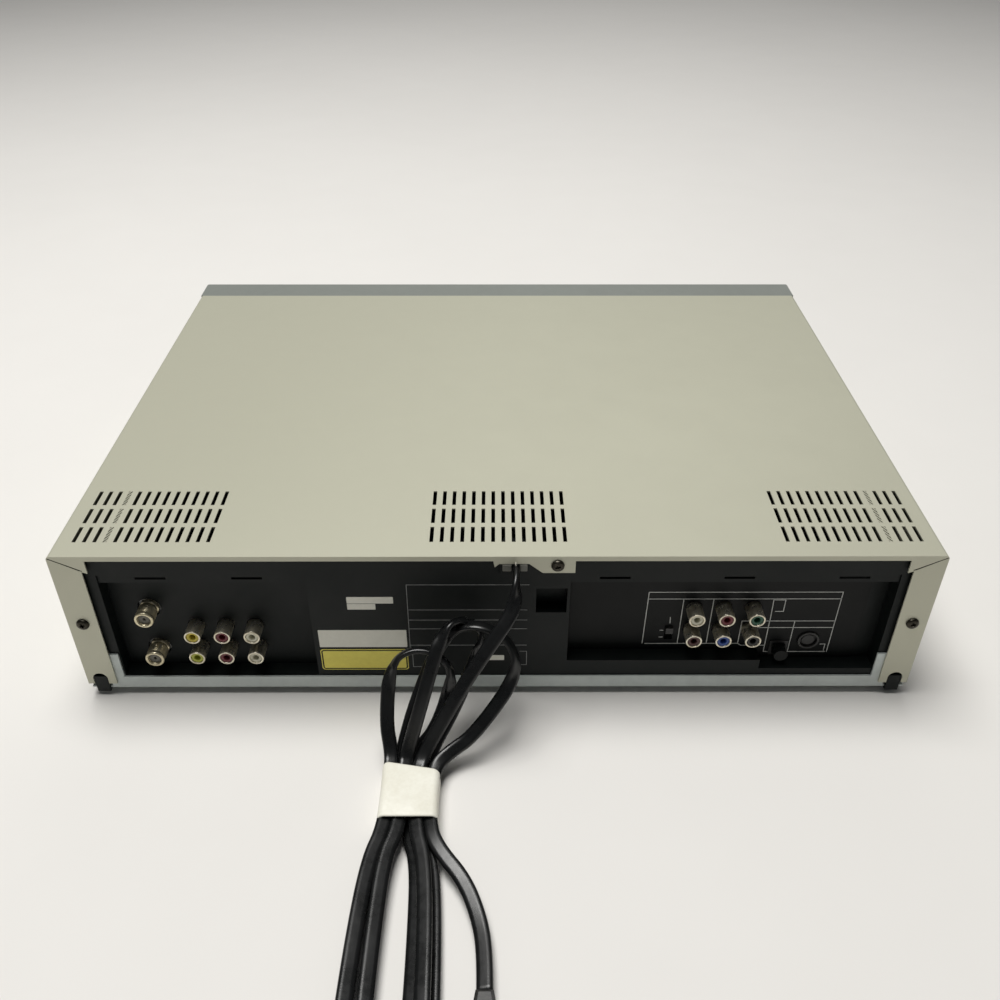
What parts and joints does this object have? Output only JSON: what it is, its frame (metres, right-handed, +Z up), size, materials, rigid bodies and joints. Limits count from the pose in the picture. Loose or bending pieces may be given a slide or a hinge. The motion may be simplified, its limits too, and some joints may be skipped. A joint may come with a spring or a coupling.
{
  "type": "disc player and video cassette recorder combo",
  "caption": "Low wide case with a disc tray and a cassette carriage, jack bays and aerial sockets at the rear, and a bundled mains lead.",
  "frame": {"origin": "on the floor under the middle of the case", "axes": "+Z up, +Y out of the rear panel, +X towards the recorder's side"},
  "size_m": [0.4336, 0.5414, 0.094],
  "materials": {
    "cover_paint": "fine satin",
    "screw_steel": "satin",
    "plate_steel": "dull zinc",
    "foot_plastic": "matte",
    "pad_felt": "felt",
    "panel_black": "satin",
    "jack_nickel": "nickel",
    "jack_colour": "moulded in several colours",
    "socket_black": "satin",
    "switch_white": "satin",
    "board_green": "lacquered",
    "fascia_grey": "satin",
    "window_tint": "dark tint",
    "drum_metal": "polished",
    "shaft_steel": "ground",
    "reel_plastic": "satin",
    "roller_rubber": "ground",
    "loader_plastic": "satin",
    "turntable_plastic": "satin",
    "button_grey": "satin",
    "cord_black": "glossy vinyl",
    "tie_white": "satin"
  },
  "bodies": {
    "case": {"top_cover": "cover_paint", "cover_screws": "screw_steel", "bottom_plate": "plate_steel", "feet": "foot_plastic", "foot_pads": "pad_felt", "rear_panel": "panel_black", "dvd_jack_plate": "panel_black", "rca_shells": "jack_nickel", "rca_inserts": "jack_colour", "jack_blocks": "socket_black", "rf_connectors": "jack_nickel", "tuner": "plate_steel", "main_board": "board_green", "dvd_board": "board_green", "power_board": "board_green", "front_board": "board_green", "front_fascia": "fascia_grey", "display_window": "window_tint", "front_av_jacks": "jack_colour", "deck_chassis": "plate_steel", "drum_base": "drum_metal", "cassette_housing": "plate_steel", "loader_frame": "loader_plastic", "clamp_bridge": "plate_steel", "strain_relief": "cord_black", "power_cord": "cord_black", "cord_hank": "cord_black", "cord_tie": "tie_white", "power_plug": "cord_black"},
    "cassette_door": {"cassette_door": "fascia_grey"},
    "disc_tray": {"disc_tray": "loader_plastic", "tray_bezel": "fascia_grey"},
    "tray_gear": {"tray_gear": "reel_plastic"},
    "traverse": {"traverse": "loader_plastic"},
    "turntable": {"turntable": "turntable_plastic"},
    "pickup": {"pickup": "socket_black"},
    "feed_gear": {"feed_gear": "reel_plastic"},
    "clamp_puck": {"clamp_puck": "reel_plastic"},
    "lift_frame": {"lift_frame": "plate_steel"},
    "cassette_basket": {"cassette_basket": "plate_steel"},
    "head_drum": {"head_drum": "drum_metal"},
    "capstan": {"capstan": "shaft_steel"},
    "supply_reel": {"supply_reel": "reel_plastic"},
    "takeup_reel": {"takeup_reel": "reel_plastic"},
    "pinch_arm": {"pinch_arm": "plate_steel"},
    "pinch_roller": {"pinch_roller": "roller_rubber"},
    "video_switch": {"video_switch": "switch_white"},
    "optical_cap": {"optical_cap": "socket_black"},
    "power_button": {"power_button": "button_grey"},
    "open_close_button": {"open_close_button": "button_grey"},
    "disc_play_button": {"disc_play_button": "button_grey"},
    "disc_stop_button": {"disc_stop_button": "button_grey"},
    "eject_button": {"eject_button": "button_grey"},
    "rewind_button": {"rewind_button": "button_grey"},
    "tape_stop_button": {"tape_stop_button": "button_grey"},
    "tape_play_button": {"tape_play_button": "button_grey"},
    "forward_button": {"forward_button": "button_grey"},
    "record_button": {"record_button": "button_grey"},
    "channel_up_button": {"channel_up_button": "button_grey"},
    "channel_down_button": {"channel_down_button": "button_grey"}
  },
  "joints": [
    {"name": "tray_slide", "type": "slide", "parent": "case", "child": "disc_tray", "axis": [0, -1, 0], "range_m": [0, 0.135]},
    {"name": "tray_gear_turn", "type": "hinge", "parent": "case", "child": "tray_gear", "pos_m": [-0.079, -0.126, 0.057], "axis": [0, 0, 1], "range_deg": [-860, 0]},
    {"name": "traverse_lift", "type": "slide", "parent": "case", "child": "traverse", "axis": [0, 0, 1], "range_m": [0, 0.0087]},
    {"name": "spindle_turn", "type": "hinge", "parent": "traverse", "child": "turntable", "pos_m": [-0.126, -0.0903, 0.052], "axis": [0, 0, 1], "continuous": true},
    {"name": "pickup_slide", "type": "slide", "parent": "traverse", "child": "pickup", "axis": [0, 1, 0], "range_m": [0, 0.033]},
    {"name": "feed_gear_turn", "type": "hinge", "parent": "traverse", "child": "feed_gear", "pos_m": [-0.091, -0.0403, 0.0496], "axis": [0, 0, 1], "range_deg": [-325, 0]},
    {"name": "puck_turn", "type": "hinge", "parent": "case", "child": "clamp_puck", "pos_m": [-0.126, -0.0903, 0.072], "axis": [0, 0, 1], "continuous": true},
    {"name": "cassette_door_hinge", "type": "hinge", "parent": "case", "child": "cassette_door", "pos_m": [0.106, -0.1572, 0.0811], "axis": [1, 0, 0], "range_deg": [0, 88], "stiffness_Nm_per_rad": 0.01},
    {"name": "carriage_slide", "type": "slide", "parent": "case", "child": "lift_frame", "axis": [0, 1, 0], "range_m": [0, 0.06]},
    {"name": "cassette_lift", "type": "slide", "parent": "lift_frame", "child": "cassette_basket", "axis": [0, 0, -1], "range_m": [0, 0.022]},
    {"name": "drum_turn", "type": "hinge", "parent": "case", "child": "head_drum", "pos_m": [0.106, 0.072, 0.02], "axis": [0, 0.104, 0.9946], "continuous": true},
    {"name": "capstan_turn", "type": "hinge", "parent": "case", "child": "capstan", "pos_m": [0.16, 0.05, 0.02], "axis": [0, 0, 1], "continuous": true},
    {"name": "supply_reel_turn", "type": "hinge", "parent": "case", "child": "supply_reel", "pos_m": [0.05975, -0.017, 0.02], "axis": [0, 0, 1], "continuous": true},
    {"name": "takeup_reel_turn", "type": "hinge", "parent": "case", "child": "takeup_reel", "pos_m": [0.15225, -0.017, 0.02], "axis": [0, 0, 1], "continuous": true},
    {"name": "pinch_arm_swing", "type": "hinge", "parent": "case", "child": "pinch_arm", "pos_m": [0.186, 0.06, 0.027], "axis": [0, 0, 1], "range_deg": [0, 20]},
    {"name": "pinch_roller_turn", "type": "hinge", "parent": "pinch_arm", "child": "pinch_roller", "pos_m": [0.16452, 0.0653, 0.035], "axis": [0, 0, 1], "continuous": true},
    {"name": "power_button_press", "type": "slide", "parent": "case", "child": "power_button", "axis": [0, 1, 0], "range_m": [0, 0.001], "stiffness_N_per_m": 600},
    {"name": "open_close_button_press", "type": "slide", "parent": "case", "child": "open_close_button", "axis": [0, 1, 0], "range_m": [0, 0.001], "stiffness_N_per_m": 600},
    {"name": "disc_play_button_press", "type": "slide", "parent": "case", "child": "disc_play_button", "axis": [0, 1, 0], "range_m": [0, 0.001], "stiffness_N_per_m": 600},
    {"name": "disc_stop_button_press", "type": "slide", "parent": "case", "child": "disc_stop_button", "axis": [0, 1, 0], "range_m": [0, 0.001], "stiffness_N_per_m": 600},
    {"name": "eject_button_press", "type": "slide", "parent": "case", "child": "eject_button", "axis": [0, 1, 0], "range_m": [0, 0.001], "stiffness_N_per_m": 600},
    {"name": "rewind_button_press", "type": "slide", "parent": "case", "child": "rewind_button", "axis": [0, 1, 0], "range_m": [0, 0.001], "stiffness_N_per_m": 600},
    {"name": "tape_stop_button_press", "type": "slide", "parent": "case", "child": "tape_stop_button", "axis": [0, 1, 0], "range_m": [0, 0.001], "stiffness_N_per_m": 600},
    {"name": "tape_play_button_press", "type": "slide", "parent": "case", "child": "tape_play_button", "axis": [0, 1, 0], "range_m": [0, 0.001], "stiffness_N_per_m": 600},
    {"name": "forward_button_press", "type": "slide", "parent": "case", "child": "forward_button", "axis": [0, 1, 0], "range_m": [0, 0.001], "stiffness_N_per_m": 600},
    {"name": "record_button_press", "type": "slide", "parent": "case", "child": "record_button", "axis": [0, 1, 0], "range_m": [0, 0.001], "stiffness_N_per_m": 600},
    {"name": "channel_up_button_press", "type": "slide", "parent": "case", "child": "channel_up_button", "axis": [0, 1, 0], "range_m": [0, 0.001], "stiffness_N_per_m": 600},
    {"name": "channel_down_button_press", "type": "slide", "parent": "case", "child": "channel_down_button", "axis": [0, 1, 0], "range_m": [0, 0.001], "stiffness_N_per_m": 600},
    {"name": "video_switch_slide", "type": "slide", "parent": "case", "child": "video_switch", "axis": [0, 0, -1], "range_m": [0, 0.003]},
    {"name": "optical_cap_pull", "type": "slide", "parent": "case", "child": "optical_cap", "axis": [0, 1, 0], "range_m": [0, 0.009]}
  ],
  "couplings": [
    {"joint": "tray_gear_turn", "follows": "tray_slide", "rad_per_m": -111.11},
    {"joint": "feed_gear_turn", "follows": "pickup_slide", "rad_per_m": -166.67}
  ]
}
